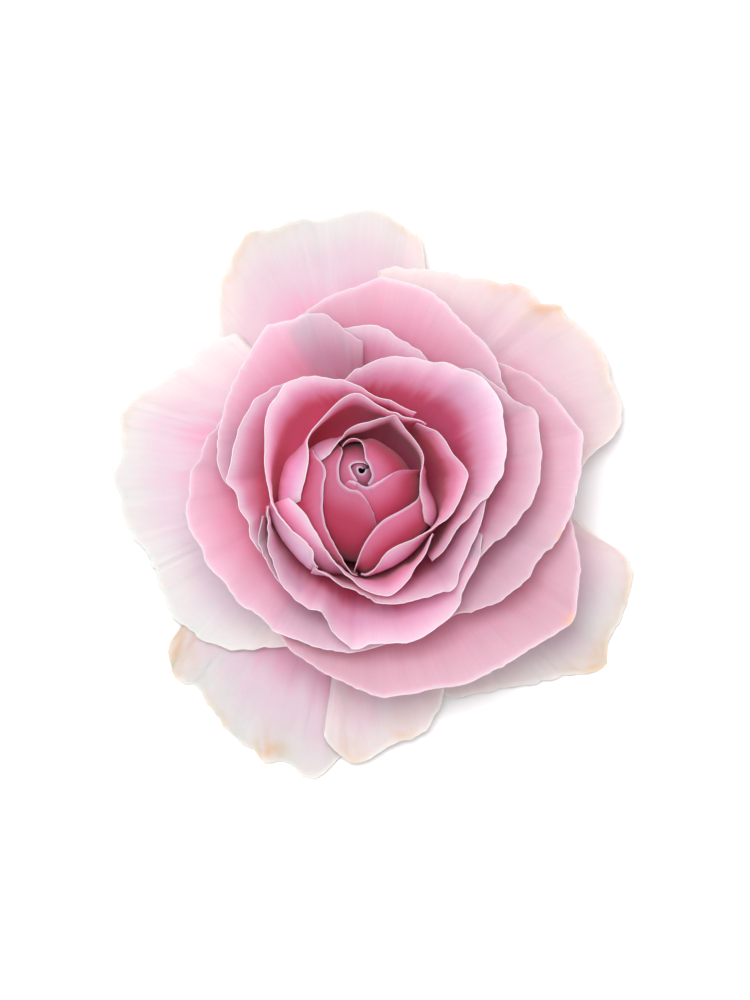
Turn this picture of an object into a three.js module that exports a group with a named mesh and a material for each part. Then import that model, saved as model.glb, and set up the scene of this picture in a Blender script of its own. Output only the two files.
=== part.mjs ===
// Cut rose bloom, open, lying face up on its outermost petals.  Millimetres, +Z up.
// Every petal is a thin sheet.  Its rim is a short list of hand-placed stations; from each point of
// the rim a Bezier profile runs down and inwards to the receptacle.
import * as THREE from 'three';

const RAD = Math.PI / 180;
const THICK = 0.36;            // petal thickness
const GAP = 0.9;               // least distance between the middles of two neighbouring petals
const COLUMN_STEP = 15;        // degrees between petal columns, the same grid for every petal
const ROWS = 8;                // strips from receptacle to rim
const NEAR_LAYERS = 4;         // petals this close in layer share their column angles
const HEART = [12.2, 0.72];    // radius of the ball that the petals wrap: innermost, more per layer
const HEART_OFF = [5.8, 0.25]; // distance of its middle from the swirl, less per layer past BUD
const HEART_DIR = 266;         // and its direction
const BUD = 4;                 // outermost layer of the bud
const FOOT = [1.6, -3.6];      // receptacle centre, from the swirl at the heart of the bloom

// Petals from the heart outwards: name, layer, stations [angle, radius, height, rim lean].
// Angles run anticlockwise seen from above.  Rim lean is degrees from upright, positive outwards;
// where it is left out it follows from the radius.
const PETALS = [
  ['petal_core', -1, [[20, 0.45, 46.4, -26], [110, 0.6, 46.8, -34], [200, 0.75, 47, -38],
    [290, 0.9, 47, -38], [370, 1.1, 46.6, -34]]],
  ['petal_wrap', 0, [[36, 1.1, 45.6, -30], [60, 1.15, 46.3, -36], [85, 1.3, 46.6, -42],
    [108, 1.55, 46.8, -46], [140, 2.05, 47, -52], [162, 2.25, 47.1, -56], [190, 1.85, 47.1, -60],
    [229, 1.7, 47, -62], [252, 2, 46.6, -62]]],
  ['petal_heart_top', 1, [[296, 3, 46.2, -76], [330, 2.5, 46.8, -78], [360, 1.9, 47.2, -78],
    [400, 1.9, 47.4, -76], [425, 2.4, 47.5, -60], [436, 3.7, 47.6, -30], [443, 5, 47.8, -5],
    [452, 6, 48, 8], [465, 6.6, 48.1, 14], [478, 6.5, 47.8, 12], [489, 6, 46.6, 5]]],
  ['petal_heart_right', 2, [[222, 2.3, 46, -56], [234, 2.2, 46.7, -62],
    [250, 2.4, 46.9, -72], [270, 3, 46.8, -76], [290, 3.6, 46.7, -78], [310, 3.75, 46.6, -78],
    [326, 4, 46.4, -77], [343, 4.7, 46, -75], [352, 5.6, 45.5, -72], [357, 6.6, 44.9, -68],
    [360, 7.8, 44, -60]]],
  ['petal_heart_left', 3, [[132, 5.2, 45.4, -20], [138, 5, 46.8, -26], [150, 4.7, 47.5, -40],
    [170, 4.5, 47.6, -62], [190, 4.5, 47.6, -72], [210, 4.7, 47.5, -76], [235, 4.4, 47.4, -80],
    [255, 4.1, 47.3, -82], [268, 4.4, 47.2, -82], [277, 5.3, 46.9, -80], [283, 6.8, 46.3, -77],
    [286, 9, 45.2, -70]]],
  ['petal_bud_right', 4, [[266.5, 20.4, 40.6, 12], [268, 18.6, 42.8, -4], [270, 16.5, 44.2, -26],
    [274, 14.5, 45.1, -50], [281, 12.4, 45.7, -66], [291, 11.2, 45.8, -72], [300, 10.9, 45.8, -72],
    [310, 11.1, 45.7, -70], [318, 11.6, 45.3, -62], [325, 12.2, 44.7, -48], [333, 12.8, 43.6, -26],
    [339, 12.7, 41.8, -8]]],
  ['petal_hood', 5, [[321, 16.5, 41], [324, 15.6, 42.5], [329, 14.6, 43.8], [336, 13.2, 45],
    [345, 12.3, 45.6], [355, 12.1, 46], [366, 12.6, 46.2], [375, 12.9, 46.3], [386, 12.5, 46.5],
    [400, 12.2, 46.8], [411, 12.5, 47], [418, 12.9, 47.2], [424, 11.9, 47.3], [433, 10.6, 47.4, 24],
    [445, 9.5, 47.4, 30], [456, 9, 47.3, 30], [468, 8.5, 47.2, 24], [482, 7.6, 47, 14],
    [495, 7.1, 46.8, 4], [508, 7.1, 46.6, -4], [520, 7.5, 46.2, -6], [527, 7.8, 45, -6]]],
  ['petal_bud_left', 6, [[158, 10.4, 42.5, -10], [164, 9.2, 45, -25], [172, 7.7, 46.4, -46],
    [180, 6.9, 46.8, -60], [190, 7, 46.9, -66], [200, 7.7, 46.8, -68], [212, 8.8, 46.6, -68],
    [222, 10.3, 46.2, -64], [232, 12.1, 45.6, -56], [241, 13.9, 45, -45], [250, 15.8, 44.2, -30],
    [257, 17.9, 43.2, -12], [261, 19.4, 42.4, 2], [265, 20.9, 41.4, 12], [268, 21.2, 39.6, 16]]],
  ['petal_ring_right', 6, [[270, 21, 39.6, 14], [273, 21.2, 41, 14], [278, 20.2, 42.2, 10],
    [284, 18, 43, -4], [290, 17.1, 43.6, -12], [299, 16.9, 44, -12], [313, 17.9, 44.3, 0],
    [323, 18.9, 44.6, 12], [331, 19.9, 44.8, 22], [341, 20.6, 45, 28], [351, 21.1, 45, 32],
    [358, 21.5, 45, 32], [365, 19.9, 45.4, 28], [371, 18.5, 45.8, 24], [379, 17.8, 46, 22],
    [387, 17, 46, 18], [394, 15.6, 45.4, 12], [400, 14.6, 43.8, 8]]],
  ['petal_ring_top', 7, [[35, 15.7, 43], [39, 15.4, 45], [42, 15.1, 46.2], [46, 14.5, 47],
    [52, 13.6, 47.3], [58, 13.1, 47.4], [68, 13.2, 47.4], [77, 13.5, 47.5], [85, 14.4, 47.6],
    [92, 15.3, 47.6], [98, 15.4, 47.6], [106, 14.8, 47.5], [115, 13.9, 47.4], [124, 13.2, 47.3],
    [134, 12.8, 47.2], [143, 12.7, 47], [152, 12.3, 46.8], [160, 11.4, 46.8], [168, 10.9, 46.8],
    [176, 10.8, 46.8], [184, 11, 46.6], [192, 11.6, 46.2], [200, 12.7, 45.2], [207, 13.2, 43.4]]],
  ['petal_ring_low', 8, [[201, 15.7, 43.8, -20], [204, 15.2, 45, -28], [210, 14.6, 45.8, -34],
    [218, 14.3, 46, -36], [226, 14.6, 46, -34], [235, 15.5, 46, -26], [241, 16.6, 45.8, -14], [246, 17.4, 45.4], [253, 19.1, 45],
    [260, 20.7, 44.4, 22], [268, 23, 43.8, 26], [275, 24.7, 43.2, 30], [282, 25.8, 42.8, 34],
    [288, 25.1, 43, 34], [294, 23.9, 43.2, 30], [299, 22.4, 43.4], [305, 21.6, 43.4],
    [312, 20.3, 43.5], [318.5, 18.9, 43.8]]],
  ['petal_cup_left', 9, [[46, 16, 44], [50, 15.6, 45.4], [55, 15.2, 46], [62, 14.9, 46.4],
    [71, 15.1, 46.5], [79, 15.1, 46.6], [86, 15.9, 46.6], [93, 17, 46.5], [100, 18.3, 46.3],
    [108, 19.2, 46], [117, 21, 45.6], [124, 22.3, 45.2], [131, 22.9, 45], [138, 22.4, 45],
    [149, 21.8, 45], [160, 20.3, 45.2], [172, 19.4, 45.4], [184, 19.1, 45.5], [197, 19.2, 45.4],
    [210, 18.8, 45.2], [221, 18.3, 44.9], [230, 17.9, 44.6], [238, 19, 43.8], [243, 20.6, 42.8],
    [246, 21.4, 41.6]]],
  ['petal_cup_right', 10, [[308, 23.2, 38.6], [312, 23.2, 41], [317, 23, 42.6], [324, 22.7, 43.2],
    [333, 23.1, 43.6], [342, 24.3, 43.8], [350, 26.4, 43.8], [358, 28.2, 43.6], [368, 29.4, 43.4],
    [377, 29.8, 43.2], [384, 31, 42.8], [391, 30.8, 43], [398, 30.3, 43.2], [404, 29, 43.8],
    [410, 27.5, 44.2], [417, 25.8, 44.6], [425, 24.9, 44.8], [431, 23.9, 45], [438, 22.8, 45.2],
    [444, 21.9, 45.2], [450, 20.5, 45.2], [456, 19.3, 44.8], [462, 18.2, 43.6]]],
  ['petal_cup_low', 11, [[244, 21.4, 39.8], [247, 21.8, 41.6], [251, 22.2, 42.6], [257, 22.8, 43],
    [265, 24, 43], [272, 25.4, 42.8], [279, 27.1, 42.4], [287, 28, 42], [295, 28.4, 41.8],
    [302, 29.2, 41.4], [308, 30, 41], [314, 28.7, 41.4], [321, 27.4, 41.8], [329, 26.7, 42],
    [337, 26.4, 41.8], [344, 26.1, 41.8], [350, 26, 41.4]]],
  ['petal_cup_bottom', 12, [[201, 20, 42.2], [206, 20.8, 42.9], [212, 22, 43], [220, 24.2, 42.6],
    [230, 26.5, 42], [241, 28.9, 41.2], [249, 29.6, 41], [255, 29.6, 40.8], [260, 33, 39.6],
    [265, 34.9, 38.8], [269, 35.8, 38.2], [273, 34.6, 38.6], [279, 35.3, 38.2], [287, 35.8, 38],
    [296, 35, 38.2], [305, 33.7, 38.6], [313, 31, 39.6], [321, 29.7, 40], [328, 28.4, 39.6],
    [332, 27.6, 38.4]]],
  ['petal_shell_lobe', 13, [[205, 22, 40.4], [209, 23.2, 41.2], [213, 24.6, 41.5], [219, 25.7, 41.6],
    [225, 26.6, 41.2], [232, 27.4, 39.5], [239, 27.8, 38.2], [244, 28, 36.8]]],
  ['petal_shell_right', 13, [[322, 29.6, 38.4], [326, 29.6, 39.6], [331, 30.5, 40.1], [338, 32.1, 40.2],
    [346, 34, 39.6], [355, 35.6, 39], [364, 36.2, 38.6], [372, 36.5, 38.3], [379, 36.6, 38],
    [384, 34, 39], [389, 32.6, 39.8], [395, 31.2, 40.6], [401, 30.4, 41], [405, 28.8, 40.4],
    [408, 28, 39.4]]],
  ['petal_shell_left', 14, [[130, 22.9, 40], [134, 23.5, 41.4], [140, 24.6, 42], [150, 25.6, 42.4],
    [159, 25.9, 42.4], [168, 25.8, 42.4], [177, 26, 42.3], [184, 27.2, 41.8], [190, 25.8, 42],
    [198, 25.5, 42], [205, 25, 42], [211, 25.8, 41.6], [217, 25.6, 40.6], [220, 25.3, 39.4]]],
  ['petal_fan_top_left', 15, [[89, 25.8, 39.6], [94, 27.2, 40.2], [98, 29, 40.2], [102, 31.6, 39.4],
    [108, 32.9, 38.6], [116, 33, 38.2], [123, 34.5, 37.4], [129, 33.3, 38.2], [136, 32.2, 38.8],
    [146, 31, 39.4], [158, 29.8, 40], [168, 29.2, 40.3], [178, 28.4, 40.4], [183, 27.6, 39.6],
    [186, 27, 38.4]]],
  ['petal_shell_top', 16, [[58, 25.6, 39.6], [62, 26, 40.6], [67, 26.8, 41], [74, 27.7, 41],
    [82, 28.8, 40.6], [89, 29.1, 40.2], [95, 28.6, 39.6], [99, 28.2, 38.2]]],
  ['petal_fan_left', 16, [[160, 29.6, 35], [164, 30.2, 36.4], [168, 31.5, 36.9], [175, 32.4, 36.6],
    [182, 34.2, 36], [188, 34.9, 35.6], [194, 36, 35.2], [200, 36.5, 35], [206, 35.6, 35.3],
    [213, 36, 35], [220, 35.5, 35], [228, 36.2, 34.6], [236, 35.7, 34.6], [244, 36.7, 34.2],
    [252, 36.6, 34], [260, 36.5, 34], [268, 36.3, 33.8], [276, 35.6, 33], [282, 35, 31.4]]],
  ['petal_fan_top', 17, [[25, 32.6, 34.4], [29, 33.2, 36.2], [33, 33.8, 37], [40, 34.9, 37],
    [48, 35.5, 36.8], [56, 36.1, 36.4], [63, 37.1, 35.8], [70, 38.5, 35.2], [80, 38.6, 35],
    [84, 38.7, 34.8], [90, 36.8, 35.6], [97, 35.8, 37], [104, 34.6, 37.4], [111, 33.4, 37],
    [117, 32, 35.6]]],
  ['petal_fan_right', 18, [[299, 34, 30], [303, 34.8, 31.6], [309, 36.2, 32.5], [317, 38.4, 32.3],
    [325, 39.5, 31.8], [334, 40.2, 31.4], [342, 42.1, 30.6], [350, 43.2, 30], [357, 43.6, 29.8],
    [364, 44.5, 29.4], [369, 44.8, 29.3], [375, 43.2, 30], [382, 40.8, 31], [389, 38.8, 32],
    [395, 36.2, 32.6], [400, 34, 31]]],
  ['petal_fan_bottom', 19, [[239, 35.4, 29], [243, 36.8, 30.2], [249, 38.8, 30.5], [258, 40.9, 29.8],
    [267, 43.2, 28.8], [274, 45.4, 27.8], [281, 46, 27.4], [288, 46.2, 27], [296, 47.7, 26],
    [305, 48.4, 25.4], [313, 49.4, 24.4], [320, 51, 22.8], [324.5, 52.3, 21.6], [330, 50.2, 22.6],
    [337, 47.8, 23.4], [344, 44.4, 23.6], [349, 42.5, 21]]],
  ['petal_guard_right', 19, [[-4, 42, 16, 98], [1, 44.5, 14.5, 100], [5, 48.2, 11.5, 105],
    [9, 52.6, 8, 110], [13, 54, 6.8, 110], [20, 53.6, 6.6, 110], [27, 53.9, 6, 110],
    [33, 53, 6, 110], [37, 51.6, 6.6, 110], [40, 52, 6, 110], [43, 49.3, 8.6, 108],
    [48, 49.5, 8.6, 106], [54, 46.8, 11, 104], [61, 44.4, 12.8, 100], [69, 42.9, 13.8, 98],
    [76, 41.8, 14, 98], [81, 41, 13, 98], [85, 40.5, 11.5, 98]]],
  ['petal_guard_left', 20, [[132, 37, 13, 98], [138, 39.2, 12.5, 100], [144, 40.5, 11.4, 102],
    [151, 42, 9.6, 106], [157, 44.5, 6.6, 112], [162, 47.8, 3.4, 116], [167, 49.5, 1.4, 118],
    [173, 48.4, 1.8, 118], [178, 48.6, 1.4, 118], [182, 49.9, 0.7, 118], [187, 48.9, 1.2, 118],
    [194, 48.5, 1.4, 118], [200, 46.6, 2.6, 116], [208, 46.1, 2.8, 116], [215, 47.8, 2, 116],
    [222, 47.3, 3.2, 114], [229, 46.2, 5, 112], [236, 43.6, 7, 108], [243, 40.1, 10.5, 102],
    [248, 38, 12, 98]]],
  ['petal_guard_bottom', 20, [[262, 54, 6, 104], [265, 57, 4.5, 106], [268, 59, 3.4, 108],
    [272, 58, 3.4, 108], [277, 55.4, 4.4, 108], [281, 55.3, 4.2, 108], [285, 53, 5, 106],
    [288, 50.8, 6, 104], [291, 47.1, 8, 102], [294, 44, 9.5, 100]]],
  ['petal_guard_low_left', 21, [[217, 41, 3, 102], [220, 46, 1.4, 106], [223, 53.2, 0.5, 108],
    [228, 55.9, 0.5, 108], [233, 54.8, 0.6, 108], [239, 57.3, 0.5, 108], [246, 60.1, 0.5, 108],
    [250, 60.6, 0.7, 108], [252, 62, 1, 104], [255, 60.8, 0.7, 108], [261, 62.6, 0.5, 108],
    [264, 60.5, 1, 106], [266, 57.6, 1.4, 104], [269, 54, 1.8, 102]]],
  ['petal_guard_low_right', 21, [[286, 44, 6, 102], [291, 48.8, 4.5, 104], [297, 50.5, 3.6, 106],
    [303, 52.4, 2.8, 106], [309, 55.2, 2, 108], [315, 58.6, 1.1, 108], [320, 62.5, 0.5, 106],
    [322, 63.3, 0.5, 104], [325, 60.4, 0.6, 108], [332, 60.2, 0.6, 108], [338, 58.6, 0.9, 108],
    [342, 56.4, 2, 106], [344.5, 49, 5, 102], [348, 43, 7, 98]]],
  ['petal_guard_top', 21, [[69, 38, 8, 98], [72, 42, 7, 100], [75, 47.6, 4.4, 106],
    [79, 49.5, 2.6, 110], [84, 51.6, 1.4, 114], [89, 52.5, 0.6, 116], [93, 52, 0.8, 116],
    [97, 50.8, 1.2, 116], [103, 52.2, 0.8, 116], [109, 51.5, 1, 116], [113.5, 52.8, 0.6, 116],
    [118, 52, 1.2, 114], [123, 49.2, 2.4, 110], [128, 46, 4, 106], [136, 39.4, 7, 100],
    [141, 35, 8, 98]]],
];

// ---- rim ----------------------------------------------------------------------------------------
const clamp = (x, lo, hi) => Math.min(hi, Math.max(lo, x));

// Distance from the swirl to the ball that a layer wraps, in the direction a.
function ball(layer, a) {
  const radius = HEART[0] + HEART[1] * (layer - 1), turn = (a - HEART_DIR) * RAD;
  const off = HEART_OFF[0] - HEART_OFF[1] * Math.max(0, layer - BUD);
  return off * Math.cos(turn) + Math.sqrt(radius * radius - off * off * Math.sin(turn) ** 2);
}

const fullness = (layer) => clamp(1.26 - 0.05 * (layer - 9), 0.86, 1.26);

function autoLean(r, layer, a) {
  return clamp(12 + 3 * (r - ball(layer, a)), -30, 75);
}

// Value of column c of the stations at angle a: a smooth curve through the stations.
function alongRim(stations, a, c) {
  const n = stations.length;
  let i = 0;
  while (i < n - 2 && a > stations[i + 1][0]) i += 1;
  const p1 = stations[i], p2 = stations[i + 1];
  const slope = (j) => {
    const lo = stations[Math.max(0, j - 1)], hi = stations[Math.min(n - 1, j + 1)];
    return (hi[c] - lo[c]) / (hi[0] - lo[0]);
  };
  const h = p2[0] - p1[0];
  const t = clamp((a - p1[0]) / h, 0, 1);
  const t2 = t * t, t3 = t2 * t;
  return (2 * t3 - 3 * t2 + 1) * p1[c] + (t3 - 2 * t2 + t) * h * slope(i)
    + (3 * t2 - 2 * t3) * p2[c] + (t3 - t2) * h * slope(i + 1);
}

const petals = PETALS.map(([name, layer, rows]) => ({
  name, layer,
  stations: rows.map(([a, r, z, lean]) => [a, r, z, lean === undefined ? autoLean(r, layer, a) : lean]),
  from: rows[0][0],
  to: rows[rows.length - 1][0],
}));

// ---- profile ------------------------------------------------------------------------------------
// The middle line of a petal in the upright half-plane at angle a, from receptacle to rim.
function freeProfile(petal, a) {
  const k = petal.layer;
  const [r, z, lean] = [1, 2, 3].map((c) => alongRim(petal.stations, a, c));
  const wrap = ball(k, a);
  const short = 6 + 0.28 * r;
  const inward = clamp((-lean - 20) / 30, 0, 1);
  const long = Math.max(short, (1.12 * wrap - r) / Math.sin(Math.max(20, -lean) * RAD));
  const lip = short + inward * inward * (3 - 2 * inward) * (long - short);
  const b = [0.8 + 0.3 * k, 20 - 0.5 * k];
  const m = [k < 0 ? 1.9 : fullness(k) * wrap, 24.6 - 0.62 * k];
  const q = [r - lip * Math.sin(lean * RAD), z - lip * Math.cos(lean * RAD)];
  const line = [];
  for (let i = 0; i <= ROWS; i += 1) {
    const t = i / ROWS, s = 1 - t;
    const w = [s * s * s, 3 * s * s * t, 3 * s * t * t, t * t * t];
    line.push([w[0] * b[0] + w[1] * m[0] + w[2] * q[0] + w[3] * r,
      w[0] * b[1] + w[1] * m[1] + w[2] * q[1] + w[3] * z]);
  }
  return line;
}

// Moves the points of `line` off the outer side of the profile `inner`, so that `least` is kept.
function keepOutside(line, inner, least) {
  for (let i = 1; i < line.length; i += 1) {
    const p = line[i];
    let best = null;
    for (let j = 0; j < inner.length - 1; j += 1) {
      const [ar, az] = inner[j], dr = inner[j + 1][0] - ar, dz = inner[j + 1][1] - az;
      const len = Math.hypot(dr, dz);
      const raw = ((p[0] - ar) * dr + (p[1] - az) * dz) / (len * len);
      const t = clamp(raw, 0, 1);
      const q = [ar + t * dr, az + t * dz];
      const d = Math.hypot(p[0] - q[0], p[1] - q[1]);
      const beyond = j === inner.length - 2 && raw > 1;
      if (!best || d < best.d) best = { d, q, n: [dz / len, -dr / len], beyond };
    }
    const side = (p[0] - best.q[0]) * best.n[0] + (p[1] - best.q[1]) * best.n[1];
    const short = best.beyond ? least - best.d : least - side;
    if (short > 0 && (best.beyond ? side > 0 : true)) {
      p[0] += best.n[0] * short;
      p[1] += best.n[1] * short;
    }
  }
}

// The profile of a petal at angle a, kept clear of every petal inside it.
function profile(petal, a) {
  const stack = [];
  for (const other of petals) {
    let t = a;
    while (t < other.from - 180) t += 360;
    while (t > other.to + 180) t -= 360;
    for (const turn of [-360, 0, 360]) {
      const u = t + turn;
      const past = Math.max(other.from - u, u - other.to, 0);
      if (other !== petal && (past > 8 || other.layer >= petal.layer)) continue;
      if (other === petal && turn !== 0) continue;
      const angle = other === petal ? a : clamp(u, other.from, other.to);
      stack.push({ other, line: freeProfile(other, angle), past: other === petal ? 0 : past });
    }
  }
  stack.sort((x, y) => x.other.layer - y.other.layer);
  for (let i = 1; i < stack.length; i += 1) {
    for (let pass = 0; pass < 2; pass += 1) {
      for (let j = 0; j < i; j += 1) {
        const layers = stack[i].other.layer - stack[j].other.layer;
        if (layers === 0) continue;
        keepOutside(stack[i].line, stack[j].line,
          GAP - 0.25 * Math.max(stack[i].past, stack[j].past));
      }
    }
  }
  return stack.find((s) => s.other === petal).line;
}

// ---- sheets -------------------------------------------------------------------------------------
// The foot of the bloom stands FOOT away from the swirl: low, inner points are shifted over it.
function place(r, a, z) {
  const up = clamp((38 - z) / 24, 0, 1), out = clamp((24 - r) / 18, 0, 1);
  const w = up * up * (3 - 2 * up) * out * out * (3 - 2 * out);
  return new THREE.Vector3(r * Math.cos(a * RAD) + FOOT[0] * w, r * Math.sin(a * RAD) + FOOT[1] * w, z);
}

// Column angles of a petal: an even grid, its own two ends and the ends of the petals next to it, so
// that neighbouring sheets turn their facets at the same angles.
function columns(petal) {
  const keep = [petal.from, petal.to];
  for (const other of petals) {
    if (Math.abs(other.layer - petal.layer) > NEAR_LAYERS) continue;
    for (const end of [other.from, other.to]) {
      for (const a of [end - 360, end, end + 360]) {
        if (a > petal.from && a < petal.to && keep.every((k) => Math.abs(k - a) > 2)) keep.push(a);
      }
    }
  }
  const grid = [];
  for (let a = Math.ceil(petal.from / COLUMN_STEP) * COLUMN_STEP; a < petal.to; a += COLUMN_STEP) {
    if (keep.every((k) => Math.abs(k - a) > 4)) grid.push(a);
  }
  return keep.concat(grid).sort((x, y) => x - y);
}

// A closed sheet of even thickness about a grid of middle points.
function sheet(grid, thick) {
  const nu = grid.length, nv = grid[0].length;
  const at = (i, j) => grid[clamp(i, 0, nu - 1)][clamp(j, 0, nv - 1)];
  const points = [];
  for (const side of [1, -1]) {
    for (let i = 0; i < nu; i += 1) {
      for (let j = 0; j < nv; j += 1) {
        const du = at(i + 1, j).clone().sub(at(i - 1, j));
        const dv = at(i, j + 1).clone().sub(at(i, j - 1));
        const n = du.cross(dv).normalize();
        points.push(at(i, j).clone().addScaledVector(n, side * thick / 2));
      }
    }
  }
  const id = (s, i, j) => s * nu * nv + i * nv + j;
  const index = [];
  const quad = (a, b, c, d) => index.push(a, b, c, a, c, d);
  for (let i = 0; i < nu - 1; i += 1) {
    for (let j = 0; j < nv - 1; j += 1) {
      quad(id(0, i, j), id(0, i + 1, j), id(0, i + 1, j + 1), id(0, i, j + 1));
      quad(id(1, i, j), id(1, i, j + 1), id(1, i + 1, j + 1), id(1, i + 1, j));
    }
  }
  for (let i = 0; i < nu - 1; i += 1) {
    quad(id(0, i, 0), id(1, i, 0), id(1, i + 1, 0), id(0, i + 1, 0));
    quad(id(0, i, nv - 1), id(0, i + 1, nv - 1), id(1, i + 1, nv - 1), id(1, i, nv - 1));
  }
  for (let j = 0; j < nv - 1; j += 1) {
    quad(id(0, 0, j), id(0, 0, j + 1), id(1, 0, j + 1), id(1, 0, j));
    quad(id(0, nu - 1, j), id(1, nu - 1, j), id(1, nu - 1, j + 1), id(0, nu - 1, j + 1));
  }
  const geometry = new THREE.BufferGeometry();
  geometry.setAttribute('position', new THREE.Float32BufferAttribute(points.flatMap((p) => p.toArray()), 3));
  geometry.setIndex(index);
  geometry.computeVertexNormals();
  return geometry;
}

const group = new THREE.Group();
function add(name, geometry, color) {
  const material = new THREE.MeshStandardMaterial({ color, roughness: 0.7, side: THREE.DoubleSide });
  const mesh = new THREE.Mesh(geometry, material);
  mesh.name = name;
  group.add(mesh);
}

const PINKS = ['#b23a55', '#c9587a', '#dd8aa6', '#e7aac0', '#eec6d3', '#f3dfe2'];
for (const petal of petals) {
  const grid = columns(petal).map((a) => profile(petal, a).map(([r, z]) => place(r, a, z)));
  add(petal.name, sheet(grid, THICK), PINKS[Math.max(0, Math.floor(petal.layer / 4))]);
}

// ---- receptacle and sepals ----------------------------------------------------------------------
const HIP = [[0, 0], [2.4, 0], [2.5, 1.2], [3.4, 2.2], [5.2, 3.4], [6.1, 4.8], [6.2, 6.2], [5.7, 7.4],
  [5.9, 8.3], [6.4, 8.9], [5.6, 10.4], [3.3, 14.2], [0.45, 19], [0, 19.2]];
const hip = new THREE.LatheGeometry(HIP.map(([r, z]) => new THREE.Vector2(r, z)), 20);
hip.rotateX(Math.PI / 2);
hip.translate(FOOT[0], FOOT[1], 0);
add('receptacle', hip, '#6f8a4a');

// Sepals curl out and down under the outermost petals: [reach, height, half width] along each.
const SEPAL = [[6.9, 8.3, 1.6], [9, 8.5, 3.2], [12.5, 7.6, 3.9], [16.5, 6, 3.4], [20.5, 4.2, 2.4],
  [24.5, 2.6, 1.3], [27.5, 1.7, 0.5]];
const SEPALS = 5;
for (let s = 0; s < SEPALS; s += 1) {
  const a = (22 + s * 360 / SEPALS) * RAD;
  const grid = [-1, -0.5, 0, 0.5, 1].map((side) => SEPAL.map(([reach, z, half]) => {
    const across = side * half;
    return new THREE.Vector3(FOOT[0] + reach * Math.cos(a) - across * Math.sin(a),
      FOOT[1] + reach * Math.sin(a) + across * Math.cos(a), z - 0.35 * (1 - side * side));
  }));
  add(`sepal_${s + 1}`, sheet(grid, 0.5), '#7c9a55');
}

// Stand the lowest point on z = 0 and centre the bloom over the origin.
const box = new THREE.Box3().setFromObject(group);
for (const mesh of group.children) {
  mesh.geometry.translate(-(box.min.x + box.max.x) / 2, -(box.min.y + box.max.y) / 2, -box.min.z);
}

export default group;
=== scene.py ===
import math

import bpy
import numpy as np
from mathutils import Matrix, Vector


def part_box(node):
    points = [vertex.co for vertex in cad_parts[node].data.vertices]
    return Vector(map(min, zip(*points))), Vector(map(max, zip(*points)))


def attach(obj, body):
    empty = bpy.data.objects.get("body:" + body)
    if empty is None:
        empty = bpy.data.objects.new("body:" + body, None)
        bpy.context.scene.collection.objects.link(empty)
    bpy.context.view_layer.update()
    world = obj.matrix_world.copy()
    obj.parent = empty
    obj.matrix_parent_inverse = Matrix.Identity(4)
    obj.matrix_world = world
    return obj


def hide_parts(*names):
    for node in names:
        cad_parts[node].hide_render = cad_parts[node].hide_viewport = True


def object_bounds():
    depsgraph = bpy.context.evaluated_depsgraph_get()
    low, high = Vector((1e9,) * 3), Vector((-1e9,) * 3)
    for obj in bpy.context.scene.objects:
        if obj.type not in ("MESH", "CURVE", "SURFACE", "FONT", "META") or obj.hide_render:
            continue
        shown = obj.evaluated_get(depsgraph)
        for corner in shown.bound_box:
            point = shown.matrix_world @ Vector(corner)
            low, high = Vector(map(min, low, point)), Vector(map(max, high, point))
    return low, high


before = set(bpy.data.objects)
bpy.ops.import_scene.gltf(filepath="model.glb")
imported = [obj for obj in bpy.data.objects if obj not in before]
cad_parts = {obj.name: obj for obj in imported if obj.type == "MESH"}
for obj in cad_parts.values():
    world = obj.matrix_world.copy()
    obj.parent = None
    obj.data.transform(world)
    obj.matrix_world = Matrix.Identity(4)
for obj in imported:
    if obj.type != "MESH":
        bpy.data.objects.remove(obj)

cad_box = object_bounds()

MM = 0.001
RAD = math.pi / 180
THICK = 0.34                 # petal thickness, away from its edge
EDGE_THICK = 0.12            # and at its edge
GAP = 0.9                    # least distance between the middles of neighbouring petals
HEART = (12.2, 0.72)         # radius of the ball that the petals wrap: innermost, more per layer
HEART_OFF = (5.8, 0.25)      # distance of its middle from the swirl, less per layer past BUD
HEART_DIR = 266              # and its direction
BUD = 4                      # outermost layer of the bud
FOOT = (1.6, -3.6)           # receptacle centre, from the swirl at the heart of the bloom
CORE_REACH = 1.9             # how far the innermost petal swells, in mm
LEAN_AT_BALL, LEAN_PER_MM = 12, 3  # rim lean where none is given: at the ball, and per mm beyond it
LEAN_LIMITS = (-30, 75)
FULLEST, FLATTEST = 1.26, 0.86     # how far petals swell against the ball, inner and outer ones
FADE, FULL_TO = 0.05, 9            # loss of fullness per layer past layer FULL_TO
LIP = (6, 0.28)              # length of the straight part below a rim: mm, and per mm of radius
TUCK = (20, 50)              # inward lean, in degrees, over which the lip grows to clear the bud
CLEAR = 1.12                 # and how far it reaches, against the ball
BASE_R, BASE_Z = (0.8, 0.3), (20, -0.5)  # foot of a petal in mm: at layer 0, and per layer
MIDDLE_Z = (24.6, -0.62)     # height of its widest part, likewise
BEND_Z = (38, 24)            # the shift to FOOT starts below this height; full this far lower
BEND_R = (24, 18)            # and inside this radius; full this far further in
PAST_END, GAP_LOSS = 8, 0.25 # degrees past a petal's end where it still counts, and mm lost for each
PROFILE_ROWS = 27            # points of a profile while petals are kept apart
MESH_ROWS = 44               # points of a profile in the finished petal
STEP = 1.25                  # degrees between the columns of a petal
RIM_SEED = 40                # first seed of the rims' wandering
SEPAL_SEED = 900             # and of the sepals' wobble
SEPAL_ROWS = 48              # points along a sepal
SEPAL_THICK = (0.18, 0.3)    # mm at a sepal's edge, and more at its midrib
# How far the rim wanders in and out, in millimetres, by kind of petal.
RAGGED = {"cup": 0.1, "shell": 0.14, "fan": 0.18, "guard": 0.42}

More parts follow.
